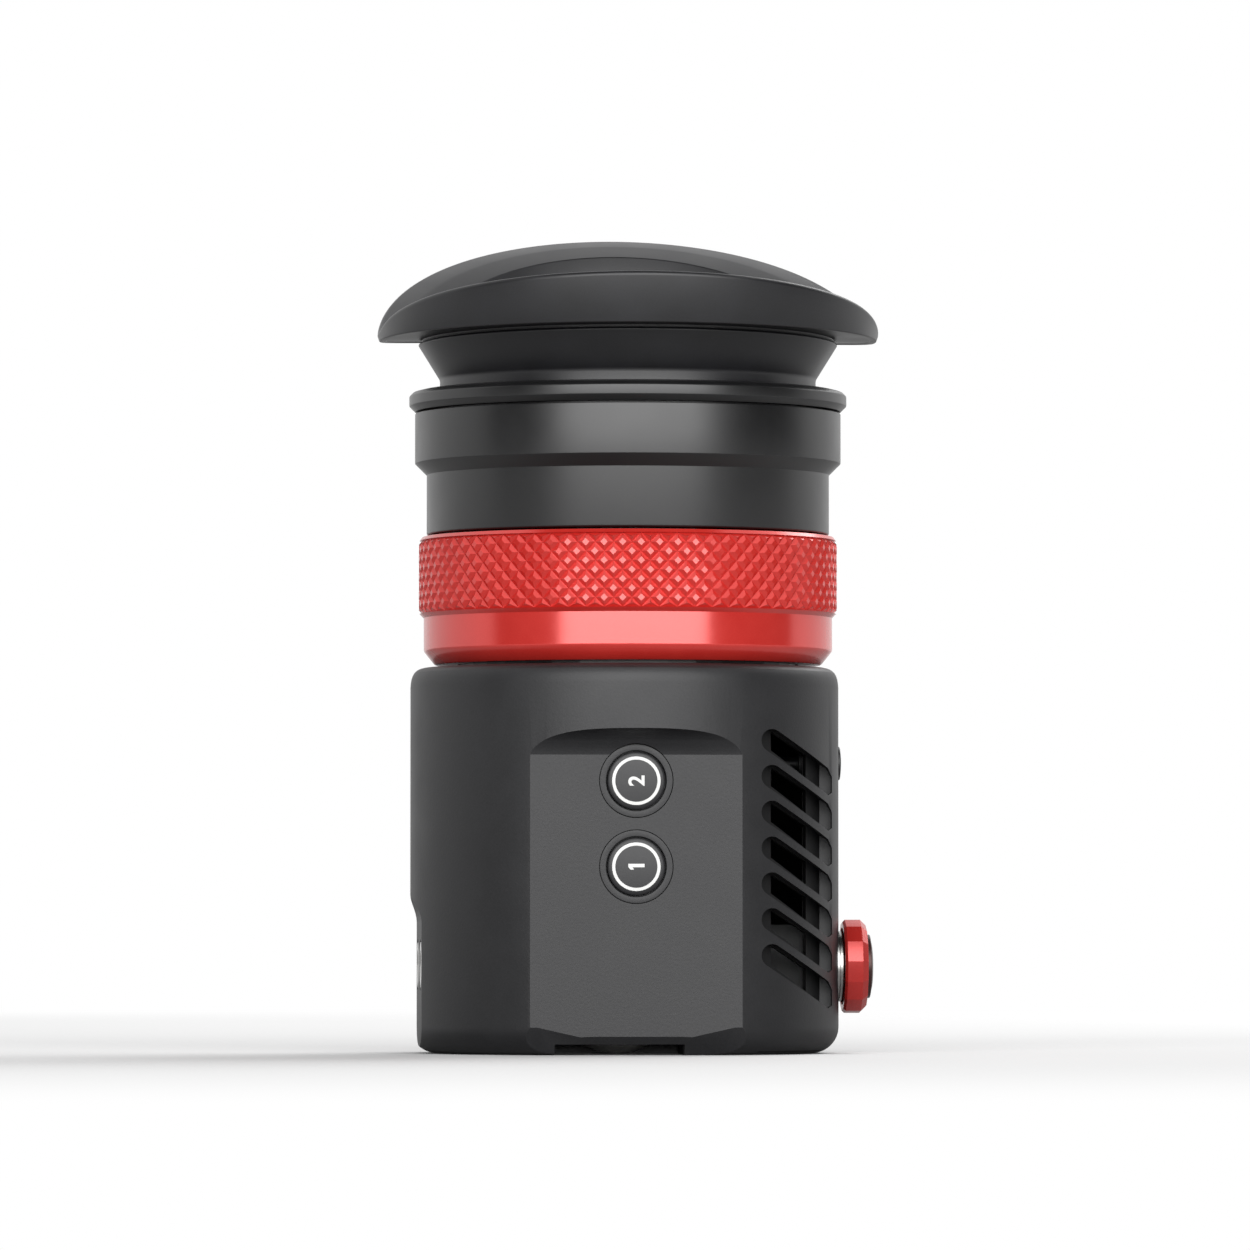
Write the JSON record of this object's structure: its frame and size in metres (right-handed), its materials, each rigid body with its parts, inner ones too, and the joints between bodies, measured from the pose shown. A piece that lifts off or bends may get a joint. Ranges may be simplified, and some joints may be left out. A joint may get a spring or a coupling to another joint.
{
  "type": "electronic viewfinder",
  "caption": "Cylindrical electronic viewfinder on its front end: vented black housing with two side buttons, a red jog dial and red diopter ring, under a flared rubber eyecup.",
  "frame": {"origin": "on the optical axis at the flat front face that the viewfinder stands on", "axes": "+Z along the optical axis towards the eye; -Y towards the button panel; +X towards the jog dial; -X towards the mounting pad; +Y towards the sockets"},
  "size_m": [0.0728, 0.077, 0.1204],
  "materials": {
    "housing_coat": "fine matt black coat over machined aluminium",
    "black_anodised": "satin black anodised",
    "red_anodised": "satin red anodised",
    "steel": "plain bright steel",
    "brass": "turned brass",
    "rubber": "satin black moulded rubber",
    "glass": "polished, coated",
    "black_plastic": "matt black moulding",
    "white_plastic": "plain white moulding",
    "circuit_board": "black solder mask",
    "amber_film": "amber polyimide film"
  },
  "bodies": {
    "viewfinder_body": {"housing": "housing_coat", "front_cover": "housing_coat", "eyepiece_tube": "black_anodised", "eyepiece_barrel": "black_anodised", "eyecup_ring": "black_anodised", "eyepiece_bezel": "black_anodised", "heat_sink": "black_anodised", "button_bezel_1": "black_anodised", "button_bezel_2": "black_anodised", "front_screw": "black_anodised", "cover_screw_1": "steel", "cover_screw_2": "steel", "cover_screw_3": "steel", "cover_screw_4": "steel", "tube_screw_1": "steel", "tube_screw_2": "steel", "tube_screw_3": "steel", "mount_insert_1": "steel", "mount_insert_2": "steel", "encoder_nut": "steel", "video_jack": "steel", "video_jack_nut": "steel", "power_socket": "steel", "standoff_1": "brass", "standoff_2": "brass", "standoff_3": "brass", "standoff_4": "brass", "video_jack_contact": "brass", "friction_o_ring": "rubber", "display_carrier": "black_plastic", "display_panel": "black_plastic", "processor": "black_plastic", "key_switch_1": "black_plastic", "key_switch_2": "black_plastic", "side_switch": "black_plastic", "encoder_body": "black_plastic", "power_socket_insert": "black_plastic", "video_jack_insulator": "white_plastic", "main_board": "circuit_board", "key_board": "circuit_board", "side_board": "circuit_board", "display_flex": "amber_film"},
    "diopter": {"diopter_ring": "red_anodised"},
    "lens_group": {"lens_cell": "black_anodised", "cam_pin_1": "brass", "cam_pin_2": "brass", "cam_pin_3": "brass", "eye_lens": "glass", "middle_lens": "glass", "field_lens": "glass", "lens_spacer": "black_anodised", "lens_retainer": "black_anodised"},
    "eye_rubber": {"eyecup": "rubber"},
    "key_1": {"button_1": "black_plastic"},
    "key_2": {"button_2": "black_plastic"},
    "side_push_key": {"side_key": "black_plastic"},
    "dial_slider": {"encoder_plunger": "white_plastic"},
    "dial": {"encoder_shaft": "steel", "jog_dial": "red_anodised", "dial_cap": "red_anodised"}
  },
  "joints": [
    {"name": "diopter_turn", "type": "hinge", "parent": "viewfinder_body", "child": "diopter", "pos_m": [0, 0, 0.0653], "axis": [0, 0, 1], "range_deg": [-60, 60]},
    {"name": "lens_travel", "type": "slide", "parent": "viewfinder_body", "child": "lens_group", "axis": [0, 0, 1], "range_m": [-0.002, 0.002]},
    {"name": "eyecup_turn", "type": "hinge", "parent": "viewfinder_body", "child": "eye_rubber", "pos_m": [0, 0, 0.094], "axis": [0, 0, 1], "continuous": true},
    {"name": "button_1_press", "type": "slide", "parent": "viewfinder_body", "child": "key_1", "axis": [0, 1, 0], "range_m": [0, 0.0005], "stiffness_N_per_m": 1000, "springref_m": -0.0005},
    {"name": "button_2_press", "type": "slide", "parent": "viewfinder_body", "child": "key_2", "axis": [0, 1, 0], "range_m": [0, 0.0005], "stiffness_N_per_m": 1000, "springref_m": -0.0005},
    {"name": "side_key_press", "type": "slide", "parent": "viewfinder_body", "child": "side_push_key", "axis": [-1, 0, 0], "range_m": [0, 0.0004], "stiffness_N_per_m": 1000, "springref_m": -0.0004},
    {"name": "dial_push", "type": "slide", "parent": "viewfinder_body", "child": "dial_slider", "axis": [-1, 0, 0], "range_m": [0, 0.0004], "stiffness_N_per_m": 1500, "springref_m": -0.0006},
    {"name": "dial_turn", "type": "hinge", "parent": "dial_slider", "child": "dial", "pos_m": [0.0328, 0, 0.0125], "axis": [1, 0, 0], "continuous": true}
  ],
  "couplings": [
    {"joint": "diopter_turn", "follows": "lens_travel", "rad_per_m": 523.6}
  ]
}
